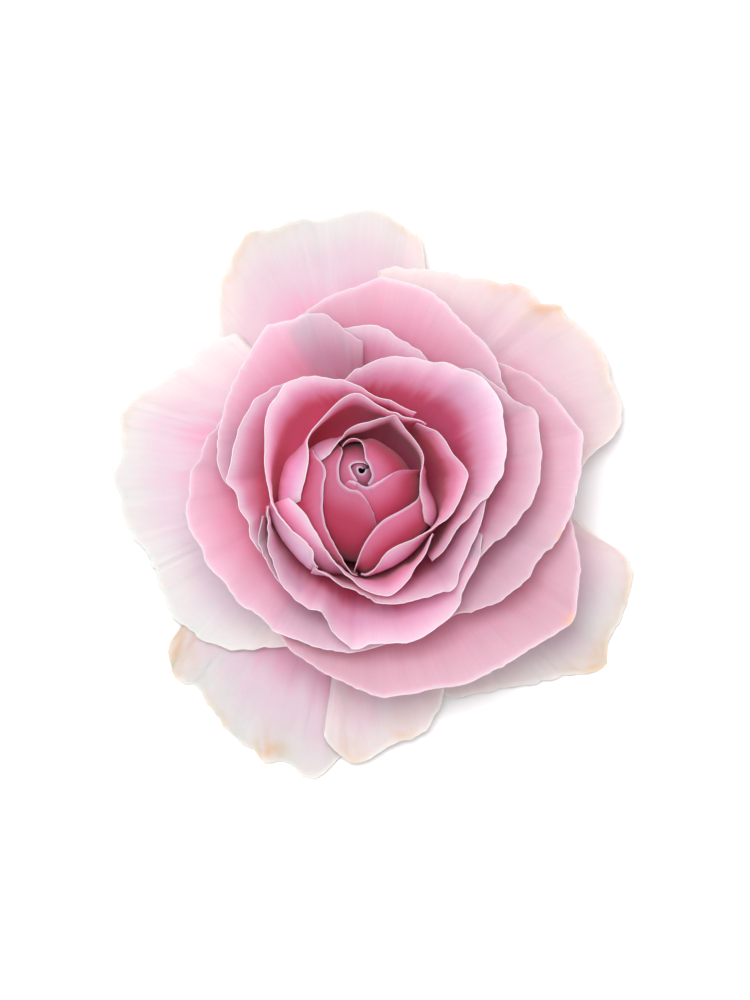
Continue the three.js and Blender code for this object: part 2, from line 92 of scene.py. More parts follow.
# Light and view.  LIGHTS: name, place in metres, size in metres, watts.
WORLD = 0.7
LIGHTS = [("key", (-0.12, 0.22, 1.5), 0.6, 18.5)]
BOUNCES, DIFFUSE_BOUNCES = 16, 12  # enough of them to light the deep folds between petals
SENSOR = 36.0                # mm, along the long side of the picture
CAMERA_HEIGHT = 3.0          # metres above the floor
FOCUS_HEIGHT = 0.028         # metres, the height at which VIEW_SIDE is measured
VIEW_SIDE = 0.2              # metres shown along the long side of the picture
VIEW_OFFSET = (2.8, -6.0)    # mm, middle of the view from the swirl of the bloom

# Petals from the heart outwards: name, layer, stations [angle, radius, height, rim lean].
# Angles run anticlockwise seen from above.  Rim lean is degrees from upright, positive outwards;
# where it is left out it follows from the radius.
PETALS = [
  ['petal_core', -1, [[20, 0.45, 46.4, -26], [110, 0.6, 46.8, -34], [200, 0.75, 47, -38],
    [290, 0.9, 47, -38], [370, 1.1, 46.6, -34]]],
  ['petal_wrap', 0, [[36, 1.1, 45.6, -30], [60, 1.15, 46.3, -36], [85, 1.3, 46.6, -42],
    [108, 1.55, 46.8, -46], [140, 2.05, 47, -52], [162, 2.25, 47.1, -56], [190, 1.85, 47.1, -60],
    [229, 1.7, 47, -62], [252, 2, 46.6, -62]]],
  ['petal_heart_top', 1, [[296, 3, 46.2, -76], [330, 2.5, 46.8, -78], [360, 1.9, 47.2, -78],
    [400, 1.9, 47.4, -76], [425, 2.4, 47.5, -60], [436, 3.7, 47.6, -30], [443, 5, 47.8, -5],
    [452, 6, 48, 8], [465, 6.6, 48.1, 14], [478, 6.5, 47.8, 12], [489, 6, 46.6, 5]]],
  ['petal_heart_right', 2, [[222, 2.3, 46, -56], [234, 2.2, 46.7, -62],
    [250, 2.4, 46.9, -72], [270, 3, 46.8, -76], [290, 3.6, 46.7, -78], [310, 3.75, 46.6, -78],
    [326, 4, 46.4, -77], [343, 4.7, 46, -75], [352, 5.6, 45.5, -72], [357, 6.6, 44.9, -68],
    [360, 7.8, 44, -60]]],
  ['petal_heart_left', 3, [[132, 5.2, 45.4, -20], [138, 5, 46.8, -26], [150, 4.7, 47.5, -40],
    [170, 4.5, 47.6, -62], [190, 4.5, 47.6, -72], [210, 4.7, 47.5, -76], [235, 4.4, 47.4, -80],
    [255, 4.1, 47.3, -82], [268, 4.4, 47.2, -82], [277, 5.3, 46.9, -80], [283, 6.8, 46.3, -77],
    [286, 9, 45.2, -70]]],
  ['petal_bud_right', 4, [[266.5, 20.4, 40.6, 12], [268, 18.6, 42.8, -4], [270, 16.5, 44.2, -26],
    [274, 14.5, 45.1, -50], [281, 12.4, 45.7, -66], [291, 11.2, 45.8, -72], [300, 10.9, 45.8, -72],
    [310, 11.1, 45.7, -70], [318, 11.6, 45.3, -62], [325, 12.2, 44.7, -48], [333, 12.8, 43.6, -26],
    [339, 12.7, 41.8, -8]]],
  ['petal_hood', 5, [[321, 16.5, 41], [324, 15.6, 42.5], [329, 14.6, 43.8], [336, 13.2, 45],
    [345, 12.3, 45.6], [355, 12.1, 46], [366, 12.6, 46.2], [375, 12.9, 46.3], [386, 12.5, 46.5],
    [400, 12.2, 46.8], [411, 12.5, 47], [418, 12.9, 47.2], [424, 11.9, 47.3], [433, 10.6, 47.4, 24],
    [445, 9.5, 47.4, 30], [456, 9, 47.3, 30], [468, 8.5, 47.2, 24], [482, 7.6, 47, 14],
    [495, 7.1, 46.8, 4], [508, 7.1, 46.6, -4], [520, 7.5, 46.2, -6], [527, 7.8, 45, -6]]],
  ['petal_bud_left', 6, [[158, 10.4, 42.5, -10], [164, 9.2, 45, -25], [172, 7.7, 46.4, -46],
    [180, 6.9, 46.8, -60], [190, 7, 46.9, -66], [200, 7.7, 46.8, -68], [212, 8.8, 46.6, -68],
    [222, 10.3, 46.2, -64], [232, 12.1, 45.6, -56], [241, 13.9, 45, -45], [250, 15.8, 44.2, -30],
    [257, 17.9, 43.2, -12], [261, 19.4, 42.4, 2], [265, 20.9, 41.4, 12], [268, 21.2, 39.6, 16]]],
  ['petal_ring_right', 6, [[270, 21, 39.6, 14], [273, 21.2, 41, 14], [278, 20.2, 42.2, 10],
    [284, 18, 43, -4], [290, 17.1, 43.6, -12], [299, 16.9, 44, -12], [313, 17.9, 44.3, 0],
    [323, 18.9, 44.6, 12], [331, 19.9, 44.8, 22], [341, 20.6, 45, 28], [351, 21.1, 45, 32],
    [358, 21.5, 45, 32], [365, 19.9, 45.4, 28], [371, 18.5, 45.8, 24], [379, 17.8, 46, 22],
    [387, 17, 46, 18], [394, 15.6, 45.4, 12], [400, 14.6, 43.8, 8]]],
  ['petal_ring_top', 7, [[35, 15.7, 43], [39, 15.4, 45], [42, 15.1, 46.2], [46, 14.5, 47],
    [52, 13.6, 47.3], [58, 13.1, 47.4], [68, 13.2, 47.4], [77, 13.5, 47.5], [85, 14.4, 47.6],
    [92, 15.3, 47.6], [98, 15.4, 47.6], [106, 14.8, 47.5], [115, 13.9, 47.4], [124, 13.2, 47.3],
    [134, 12.8, 47.2], [143, 12.7, 47], [152, 12.3, 46.8], [160, 11.4, 46.8], [168, 10.9, 46.8],
    [176, 10.8, 46.8], [184, 11, 46.6], [192, 11.6, 46.2], [200, 12.7, 45.2], [207, 13.2, 43.4]]],
  ['petal_ring_low', 8, [[201, 15.7, 43.8, -20], [204, 15.2, 45, -28], [210, 14.6, 45.8, -34],
    [218, 14.3, 46, -36], [226, 14.6, 46, -34], [235, 15.5, 46, -26], [241, 16.6, 45.8, -14],
    [246, 17.4, 45.4], [253, 19.1, 45],
    [260, 20.7, 44.4, 22], [268, 23, 43.8, 26], [275, 24.7, 43.2, 30], [282, 25.8, 42.8, 34],
    [288, 25.1, 43, 34], [294, 23.9, 43.2, 30], [299, 22.4, 43.4], [305, 21.6, 43.4],
    [312, 20.3, 43.5], [318.5, 18.9, 43.8]]],
  ['petal_cup_left', 9, [[46, 16, 44], [50, 15.6, 45.4], [55, 15.2, 46], [62, 14.9, 46.4],
    [71, 15.1, 46.5], [79, 15.1, 46.6], [86, 15.9, 46.6], [93, 17, 46.5], [100, 18.3, 46.3],
    [108, 19.2, 46], [117, 21, 45.6], [124, 22.3, 45.2], [131, 22.9, 45], [138, 22.4, 45],
    [149, 21.8, 45], [160, 20.3, 45.2], [172, 19.4, 45.4], [184, 19.1, 45.5], [197, 19.2, 45.4],
    [210, 18.8, 45.2], [221, 18.3, 44.9], [230, 17.9, 44.6], [238, 19, 43.8], [243, 20.6, 42.8],
    [246, 21.4, 41.6]]],
  ['petal_cup_right', 10, [[308, 23.2, 38.6], [312, 23.2, 41], [317, 23, 42.6], [324, 22.7, 43.2],
    [333, 23.1, 43.6], [342, 24.3, 43.8], [350, 26.4, 43.8], [358, 28.2, 43.6], [368, 29.4, 43.4],
    [377, 29.8, 43.2], [384, 31, 42.8], [391, 30.8, 43], [398, 30.3, 43.2], [404, 29, 43.8],
    [410, 27.5, 44.2], [417, 25.8, 44.6], [425, 24.9, 44.8], [431, 23.9, 45], [438, 22.8, 45.2],
    [444, 21.9, 45.2], [450, 20.5, 45.2], [456, 19.3, 44.8], [462, 18.2, 43.6]]],
  ['petal_cup_low', 11, [[244, 21.4, 39.8], [247, 21.8, 41.6], [251, 22.2, 42.6], [257, 22.8, 43],
    [265, 24, 43], [272, 25.4, 42.8], [279, 27.1, 42.4], [287, 28, 42], [295, 28.4, 41.8],
    [302, 29.2, 41.4], [308, 30, 41], [314, 28.7, 41.4], [321, 27.4, 41.8], [329, 26.7, 42],
    [337, 26.4, 41.8], [344, 26.1, 41.8], [350, 26, 41.4]]],
  ['petal_cup_bottom', 12, [[201, 20, 42.2], [206, 20.8, 42.9], [212, 22, 43], [220, 24.2, 42.6],
    [230, 26.5, 42], [241, 28.9, 41.2], [249, 29.6, 41], [255, 29.6, 40.8], [260, 33, 39.6],
    [265, 34.9, 38.8], [269, 35.8, 38.2], [273, 34.6, 38.6], [279, 35.3, 38.2], [287, 35.8, 38],
    [296, 35, 38.2], [305, 33.7, 38.6], [313, 31, 39.6], [321, 29.7, 40], [328, 28.4, 39.6],
    [332, 27.6, 38.4]]],
  ['petal_shell_lobe', 13, [[205, 22, 40.4], [209, 23.2, 41.2], [213, 24.6, 41.5], [219, 25.7, 41.6],
    [225, 26.6, 41.2], [232, 27.4, 39.5], [239, 27.8, 38.2], [244, 28, 36.8]]],
  ['petal_shell_right', 13, [[322, 29.6, 38.4], [326, 29.6, 39.6], [331, 30.5, 40.1], [338, 32.1, 40.2],
    [346, 34, 39.6], [355, 35.6, 39], [364, 36.2, 38.6], [372, 36.5, 38.3], [379, 36.6, 38],
    [384, 34, 39], [389, 32.6, 39.8], [395, 31.2, 40.6], [401, 30.4, 41], [405, 28.8, 40.4],
    [408, 28, 39.4]]],
  ['petal_shell_left', 14, [[130, 22.9, 40], [134, 23.5, 41.4], [140, 24.6, 42], [150, 25.6, 42.4],
    [159, 25.9, 42.4], [168, 25.8, 42.4], [177, 26, 42.3], [184, 27.2, 41.8], [190, 25.8, 42],
    [198, 25.5, 42], [205, 25, 42], [211, 25.8, 41.6], [217, 25.6, 40.6], [220, 25.3, 39.4]]],
  ['petal_fan_top_left', 15, [[89, 25.8, 39.6], [94, 27.2, 40.2], [98, 29, 40.2], [102, 31.6, 39.4],
    [108, 32.9, 38.6], [116, 33, 38.2], [123, 34.5, 37.4], [129, 33.3, 38.2], [136, 32.2, 38.8],
    [146, 31, 39.4], [158, 29.8, 40], [168, 29.2, 40.3], [178, 28.4, 40.4], [183, 27.6, 39.6],
    [186, 27, 38.4]]],
  ['petal_shell_top', 16, [[58, 25.6, 39.6], [62, 26, 40.6], [67, 26.8, 41], [74, 27.7, 41],
    [82, 28.8, 40.6], [89, 29.1, 40.2], [95, 28.6, 39.6], [99, 28.2, 38.2]]],
  ['petal_fan_left', 16, [[160, 29.6, 35], [164, 30.2, 36.4], [168, 31.5, 36.9], [175, 32.4, 36.6],
    [182, 34.2, 36], [188, 34.9, 35.6], [194, 36, 35.2], [200, 36.5, 35], [206, 35.6, 35.3],
    [213, 36, 35], [220, 35.5, 35], [228, 36.2, 34.6], [236, 35.7, 34.6], [244, 36.7, 34.2],
    [252, 36.6, 34], [260, 36.5, 34], [268, 36.3, 33.8], [276, 35.6, 33], [282, 35, 31.4]]],
  ['petal_fan_top', 17, [[25, 32.6, 34.4], [29, 33.2, 36.2], [33, 33.8, 37], [40, 34.9, 37],
    [48, 35.5, 36.8], [56, 36.1, 36.4], [63, 37.1, 35.8], [70, 38.5, 35.2], [80, 38.6, 35],
    [84, 38.7, 34.8], [90, 36.8, 35.6], [97, 35.8, 37], [104, 34.6, 37.4], [111, 33.4, 37],
    [117, 32, 35.6]]],
  ['petal_fan_right', 18, [[299, 34, 30], [303, 34.8, 31.6], [309, 36.2, 32.5], [317, 38.4, 32.3],
    [325, 39.5, 31.8], [334, 40.2, 31.4], [342, 42.1, 30.6], [350, 43.2, 30], [357, 43.6, 29.8],
    [364, 44.5, 29.4], [369, 44.8, 29.3], [375, 43.2, 30], [382, 40.8, 31], [389, 38.8, 32],
    [395, 36.2, 32.6], [400, 34, 31]]],
  ['petal_fan_bottom', 19, [[239, 35.4, 29], [243, 36.8, 30.2], [249, 38.8, 30.5], [258, 40.9, 29.8],
    [267, 43.2, 28.8], [274, 45.4, 27.8], [281, 46, 27.4], [288, 46.2, 27], [296, 47.7, 26],
    [305, 48.4, 25.4], [313, 49.4, 24.4], [320, 51, 22.8], [324.5, 52.3, 21.6], [330, 50.2, 22.6],
    [337, 47.8, 23.4], [344, 44.4, 23.6], [349, 42.5, 21]]],
  ['petal_guard_right', 19, [[-4, 42, 16, 98], [1, 44.5, 14.5, 100], [5, 48.2, 11.5, 105],
    [9, 52.6, 8, 110], [13, 54, 6.8, 110], [20, 53.6, 6.6, 110], [27, 53.9, 6, 110],
    [33, 53, 6, 110], [37, 51.6, 6.6, 110], [40, 52, 6, 110], [43, 49.3, 8.6, 108],
    [48, 49.5, 8.6, 106], [54, 46.8, 11, 104], [61, 44.4, 12.8, 100], [69, 42.9, 13.8, 98],
    [76, 41.8, 14, 98], [81, 41, 13, 98], [85, 40.5, 11.5, 98]]],
  ['petal_guard_left', 20, [[132, 37, 13, 98], [138, 39.2, 12.5, 100], [144, 40.5, 11.4, 102],
    [151, 42, 9.6, 106], [157, 44.5, 6.6, 112], [162, 47.8, 3.4, 116], [167, 49.5, 1.4, 118],
    [173, 48.4, 1.8, 118], [178, 48.6, 1.4, 118], [182, 49.9, 0.7, 118], [187, 48.9, 1.2, 118],
    [194, 48.5, 1.4, 118], [200, 46.6, 2.6, 116], [208, 46.1, 2.8, 116], [215, 47.8, 2, 116],
    [222, 47.3, 3.2, 114], [229, 46.2, 5, 112], [236, 43.6, 7, 108], [243, 40.1, 10.5, 102],
    [248, 38, 12, 98]]],
  ['petal_guard_bottom', 20, [[262, 54, 6, 104], [265, 57, 4.5, 106], [268, 59, 3.4, 108],
    [272, 58, 3.4, 108], [277, 55.4, 4.4, 108], [281, 55.3, 4.2, 108], [285, 53, 5, 106],
    [288, 50.8, 6, 104], [291, 47.1, 8, 102], [294, 44, 9.5, 100]]],
  ['petal_guard_low_left', 21, [[217, 41, 3, 102], [220, 46, 1.4, 106], [223, 53.2, 0.5, 108],
    [228, 55.9, 0.5, 108], [233, 54.8, 0.6, 108], [239, 57.3, 0.5, 108], [246, 60.1, 0.5, 108],
    [250, 60.6, 0.7, 108], [252, 62, 1, 104], [255, 60.8, 0.7, 108], [261, 62.6, 0.5, 108],
    [264, 60.5, 1, 106], [266, 57.6, 1.4, 104], [269, 54, 1.8, 102]]],
  ['petal_guard_low_right', 21, [[286, 44, 6, 102], [291, 48.8, 4.5, 104], [297, 50.5, 3.6, 106],
    [303, 52.4, 2.8, 106], [309, 55.2, 2, 108], [315, 58.6, 1.1, 108], [320, 62.5, 0.5, 106],
    [322, 63.3, 0.5, 104], [325, 60.4, 0.6, 108], [332, 60.2, 0.6, 108], [338, 58.6, 0.9, 108],
    [342, 56.4, 2, 106], [344.5, 49, 5, 102], [348, 43, 7, 98]]],
  ['petal_guard_top', 21, [[69, 38, 8, 98], [72, 42, 7, 100], [75, 47.6, 4.4, 106],
    [79, 49.5, 2.6, 110], [84, 51.6, 1.4, 114], [89, 52.5, 0.6, 116], [93, 52, 0.8, 116],
    [97, 50.8, 1.2, 116], [103, 52.2, 0.8, 116], [109, 51.5, 1, 116], [113.5, 52.8, 0.6, 116],
    [118, 52, 1.2, 114], [123, 49.2, 2.4, 110], [128, 46, 4, 106], [136, 39.4, 7, 100],
    [141, 35, 8, 98]]],
]

# ---- where the bloom stands ---------------------------------------------------------------------
foot_low, foot_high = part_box("receptacle")
SHIFT = np.array([(foot_low.x + foot_high.x) / 2 / MM - FOOT[0],
                  (foot_low.y + foot_high.y) / 2 / MM - FOOT[1], foot_low.z / MM])


# ---- rim ----------------------------------------------------------------------------------------
def smoothstep(lo, hi, x):
    t = np.clip((x - lo) / (hi - lo), 0, 1)
    return t * t * (3 - 2 * t)


def ball(layer, angles):
    """Distance from the swirl to the ball that a layer wraps, in each direction."""
    radius = HEART[0] + HEART[1] * (layer - 1)
    off = HEART_OFF[0] - HEART_OFF[1] * max(0, layer - BUD)
    turn = (angles - HEART_DIR) * RAD
    return off * np.cos(turn) + np.sqrt(radius ** 2 - (off * np.sin(turn)) ** 2)


def auto_lean(angle, r, layer):
    """Rim lean of a station that gives none: the further out, the flatter."""
    lean = LEAN_AT_BALL + LEAN_PER_MM * (r - ball(layer, angle))
    return min(LEAN_LIMITS[1], max(LEAN_LIMITS[0], lean))


def fullness(layer):
    """How far the middle of a petal swells, against the ball that it wraps."""
    return min(FULLEST, max(FLATTEST, FULLEST - FADE * (layer - FULL_TO)))


def along_rim(stations, angles):
    """Radius, height and rim lean at each angle: a smooth curve through the stations."""
    a = stations[:, 0]
    slope = np.empty((len(a), 3))
    slope[1:-1] = (stations[2:, 1:] - stations[:-2, 1:]) / (a[2:] - a[:-2])[:, None]
    slope[0] = (stations[1, 1:] - stations[0, 1:]) / (a[1] - a[0])
    slope[-1] = (stations[-1, 1:] - stations[-2, 1:]) / (a[-1] - a[-2])
    i = np.clip(np.searchsorted(a, angles, side="right") - 1, 0, len(a) - 2)
    h = (a[i + 1] - a[i])[:, None]
    t = np.clip((angles - a[i])[:, None] / h, 0, 1)
    t2, t3 = t * t, t * t * t
    return ((2 * t3 - 3 * t2 + 1) * stations[i, 1:] + (t3 - 2 * t2 + t) * h * slope[i]
            + (3 * t2 - 2 * t3) * stations[i + 1, 1:] + (t3 - t2) * h * slope[i + 1])


def smooth_noise(x, seed, *scales):
    """Seeded waves of about unit height along x, one set for each wavelength."""
    draw = np.random.default_rng(seed)
    total = np.zeros_like(x, dtype=float)
    for wavelength, height in scales:
        for _ in range(3):
            length = wavelength * draw.uniform(0.7, 1.4)
            total += height * np.sin(2 * math.pi * (x / length + draw.uniform())) / 1.7
    return total


# ---- profiles -----------------------------------------------------------------------------------
def free_profile(petal, angles):
    """Middle lines of a petal in the upright half-planes at the angles: [angle, point, (r, z)]."""
    k = petal["layer"]
    r, z, lean = along_rim(petal["stations"], angles).T
    along = angles * RAD * r.mean()
    r = r + petal["ragged"] * smooth_noise(along, RIM_SEED + k, (8, 0.5), (3.4, 0.4), (1.7, 0.25))
    wrap = ball(k, angles)
    short = LIP[0] + LIP[1] * r
    inward = smoothstep(*TUCK, -lean)
    reach = (CLEAR * wrap - r) / np.sin(np.maximum(TUCK[0], -lean) * RAD)
    lip = short + inward * (np.maximum(short, reach) - short)
    one = np.ones_like(r)
    b = np.stack([(BASE_R[0] + BASE_R[1] * k) * one, (BASE_Z[0] + BASE_Z[1] * k) * one], 1)
    swell = CORE_REACH * one if k < 0 else fullness(k) * wrap
    m = np.stack([swell, (MIDDLE_Z[0] + MIDDLE_Z[1] * k) * one], 1)
    q = np.stack([r - lip * np.sin(lean * RAD), z - lip * np.cos(lean * RAD)], 1)
    e = np.stack([r, z], 1)
    t = np.linspace(0, 1, PROFILE_ROWS)[None, :, None]
    s = 1 - t
    return (s ** 3 * b[:, None] + 3 * s * s * t * m[:, None] + 3 * s * t * t * q[:, None]
            + t ** 3 * e[:, None])


def keep_outside(lines, inner, least):
    """Moves points of the lines off the outer side of the inner lines, so that `least` is kept."""
    a, d = inner[:, :-1], np.diff(inner, axis=1)
    length = np.linalg.norm(d, axis=2)
    p = lines[:, 1:, None]
    raw = ((p - a[:, None]) * d[:, None]).sum(3) / (length ** 2)[:, None]
    q = a[:, None] + np.clip(raw, 0, 1)[..., None] * d[:, None]
    dist = np.linalg.norm(p - q, axis=3)
    j = dist.argmin(2)
    pick = lambda x: np.take_along_axis(x, j.reshape(j.shape + (1,) * (x.ndim - 2)), 2)[:, :, 0]
    near, q = pick(dist), pick(q)
    beyond = (j == inner.shape[1] - 2) & (pick(raw) > 1)
    n = np.stack([d[..., 1], -d[..., 0]], 2) / length[..., None]
    n = np.take_along_axis(n, j[..., None], 1)
    side = ((lines[:, 1:] - q) * n).sum(2)
    short = np.where(beyond, least[:, None] - near, least[:, None] - side)
    short = np.where((short > 0) & (~beyond | (side > 0)), short, 0)
    lines[:, 1:] += n * short[..., None]


def spread(petal, angles):
    """The petal's profiles at the angles, kept clear of every petal inside it."""
    lines = free_profile(petal, angles)
    for _ in range(2):
        for other in petals:
            if other["layer"] >= petal["layer"]:
                break
            for turn in (-360, 0, 360):
                u = angles + turn
                past = np.maximum(0, np.maximum(other["from"] - u, u - other["to"]))
                near = past < PAST_END
                if not near.any():
                    continue
                grid = other["grid"]
                at = np.clip(u[near], other["from"], other["to"])
                i = np.clip(np.searchsorted(grid, at) - 1, 0, len(grid) - 2)
                w = ((at - grid[i]) / (grid[i + 1] - grid[i]))[:, None, None]
                inner = other["lines"][i] * (1 - w) + other["lines"][i + 1] * w
                part = lines[near]
                keep_outside(part, inner, GAP - GAP_LOSS * past[near])
                lines[near] = part
    return lines


def blur(values, axis, passes):
    """Evens out values along an axis, leaving its two ends alone."""
    v = np.moveaxis(values, axis, 0)
    for _ in range(passes):
        v[1:-1] = 0.25 * v[:-2] + 0.5 * v[1:-1] + 0.25 * v[2:]
    return np.moveaxis(v, 0, axis)


petals = []
for name, layer, rows in PETALS:
    rows = [row if len(row) == 4 else [*row, auto_lean(row[0], row[1], layer)] for row in rows]
    stations = np.array(rows, float)
    first, last = stations[0, 0], stations[-1, 0]
    ragged = RAGGED.get(name.split("_")[1], 0)
    petals.append({"name": name, "layer": layer, "stations": stations, "ragged": ragged,
                   "from": first, "to": last,
                   "grid": np.linspace(first, last, int((last - first) / STEP) + 2)})
for petal in petals:
    free = free_profile(petal, petal["grid"])
    moved = spread(petal, petal["grid"]) - free
    moved = blur(blur(moved, 0, 6), 1, 2)
    petal["lines"] = free + moved


# ---- sheets -------------------------------------------------------------------------------------
def to_mesh(name, points, quads, layers):
    """A mesh object from points in millimetres, with named per-point values."""
    mesh = bpy.data.meshes.new(name)
    mesh.vertices.add(len(points))
    mesh.vertices.foreach_set("co", ((points + SHIFT) * MM).astype(np.float32).ravel())
    mesh.loops.add(quads.size)
    mesh.loops.foreach_set("vertex_index", quads.astype(np.int32).ravel())
    mesh.polygons.add(len(quads))
    mesh.polygons.foreach_set("loop_start", np.arange(0, quads.size, 4, dtype=np.int32))
    mesh.update(calc_edges=True)
    mesh.polygons.foreach_set("use_smooth", np.ones(len(quads), bool))
    for key, value in layers.items():
        if value.ndim == 2 and value.shape[1] == 4:
            mesh.attributes.new(key, "FLOAT_COLOR", "POINT").data.foreach_set(
                "color", value.astype(np.float32).ravel())
        elif value.ndim == 2:
            mesh.attributes.new(key, "FLOAT_VECTOR", "POINT").data.foreach_set(
                "vector", value.astype(np.float32).ravel())
    mesh.validate()
    piece = bpy.data.objects.new(name, mesh)
    bpy.context.scene.collection.objects.link(piece)
    return piece


def sheet(middle, thick):
    """Points and quads of a closed sheet about a grid of middle points.  thick is per point."""
    du, dv = np.gradient(middle, axis=0), np.gradient(middle, axis=1)
    n = np.cross(du, dv)
    n /= np.linalg.norm(n, axis=2, keepdims=True)
    nu, nv = middle.shape[:2]
    half = thick[..., None] / 2
    points = np.concatenate([(middle + n * half).reshape(-1, 3), (middle - n * half).reshape(-1, 3)])
    i, j = np.meshgrid(np.arange(nu - 1), np.arange(nv - 1), indexing="ij")
    c = (i * nv + j).ravel()
    other = nu * nv
    front = np.stack([c, c + nv, c + nv + 1, c + 1], 1)
    back = np.stack([c, c + 1, c + nv + 1, c + nv], 1) + other
    u, v = np.arange(nu - 1) * nv, np.arange(nv - 1)
    low = np.stack([u, u + other, u + nv + other, u + nv], 1)
    top = u + nv - 1
    high = np.stack([top, top + nv, top + nv + other, top + other], 1)
    left = np.stack([v, v + 1, v + 1 + other, v + other], 1)
    end = v + (nu - 1) * nv
    right = np.stack([end, end + other, end + 1 + other, end + 1], 1)
    return points, np.concatenate([front, back, low, high, left, right])


def place(r, angle, z):
    """Points in millimetres.  The foot of the bloom stands FOOT away from the swirl."""
    up, out = (np.clip((top - v) / fade, 0, 1) for v, (top, fade) in ((z, BEND_Z), (r, BEND_R)))
    w = up * up * (3 - 2 * up) * out * out * (3 - 2 * out)
    return np.stack([r * np.cos(angle * RAD) + FOOT[0] * w,
                     r * np.sin(angle * RAD) + FOOT[1] * w, z + 0 * r], -1)


def linear(rgb):
    c = np.array(rgb, float) / 255
    return np.where(c <= 0.04045, c / 12.92, ((c + 0.055) / 1.055) ** 2.4)


# Colours of each kind of petal, from its rim inwards: [rim, just inside, body, deep down], the
# depths in millimetres at which the last three are reached, and how much the surface waves.
LOOKS = {
    "heart": ([(232, 182, 202), (198, 106, 138), (184, 58, 90), (180, 46, 78)], (0.7, 7, 16), 0.08),
    "ring": ([(238, 204, 218), (238, 186, 208), (232, 152, 188), (200, 74, 116)], (0.9, 6, 14), 0.12),
    "cup": ([(230, 210, 220), (229, 199, 214), (230, 176, 203), (210, 92, 132)], (1.2, 8, 17), 0.18),
    "shell": ([(216, 202, 209), (215, 191, 203), (216, 160, 184), (214, 100, 136)], (1.3, 10, 20), 0.24),
    "fan": ([(218, 203, 211), (215, 191, 203), (216, 170, 191), (222, 128, 160)], (1.4, 14, 27), 0.28),
    "guard": ([(216, 208, 202), (215, 204, 204), (217, 190, 199), (226, 158, 182)], (2.0, 11, 23), 0.45),
}
# Painted light and shade: how much lighter or darker single petals are made than the rest of their kind,
# standing in for how the light falls on each of them.
PAINTED_LIGHT_AND_SHADE = {"heart_left": 0.85, "ring_top": 1.15, "cup_left": 1.2, "cup_bottom": 0.92, "cup_low": 0.95,
             "shell_left": 1.3, "shell_top": 1.25, "shell_right": 0.86, "fan_left": 0.95,
             "fan_top": 0.9, "fan_right": 0.84, "fan_bottom": 0.76, "guard_right": 0.95,
             "guard_left": 1.06}
KIND = {"core": "heart", "wrap": "heart", "bud": "heart", "hood": "ring"}


# Weathered tan patches at the rims: petal, angle, half width along the rim in degrees, depth in mm
# and strength.
TAN = (209, 168, 124)
STAINS = [("petal_guard_right", 41, 4, 4, 0.75), ("petal_guard_right", 52, 5, 2, 0.5),
          ("petal_guard_right", 24, 9, 2, 0.25), ("petal_guard_left", 168, 5, 2, 0.3),
          ("petal_guard_bottom", 268, 3, 4, 0.5), ("petal_guard_bottom", 279, 3, 4, 0.4),
          ("petal_guard_low_left", 224, 5, 7, 0.7), ("petal_guard_low_left", 252, 3, 5, 0.8),
          ("petal_guard_low_left", 240, 6, 2, 0.35), ("petal_guard_low_right", 321, 5, 4, 0.7),
          ("petal_guard_low_right", 335, 8, 2, 0.4), ("petal_guard_top", 118, 12, 3, 0.4),
          ("petal_guard_top", 80, 6, 2, 0.3), ("petal_fan_bottom", 324, 2, 1.5, 0.7),
          ("petal_fan_right", 342, 2, 1.2, 0.5)]


def kind_of(petal):
    word = petal["name"].split("_")[1]
    return KIND.get(word, word)


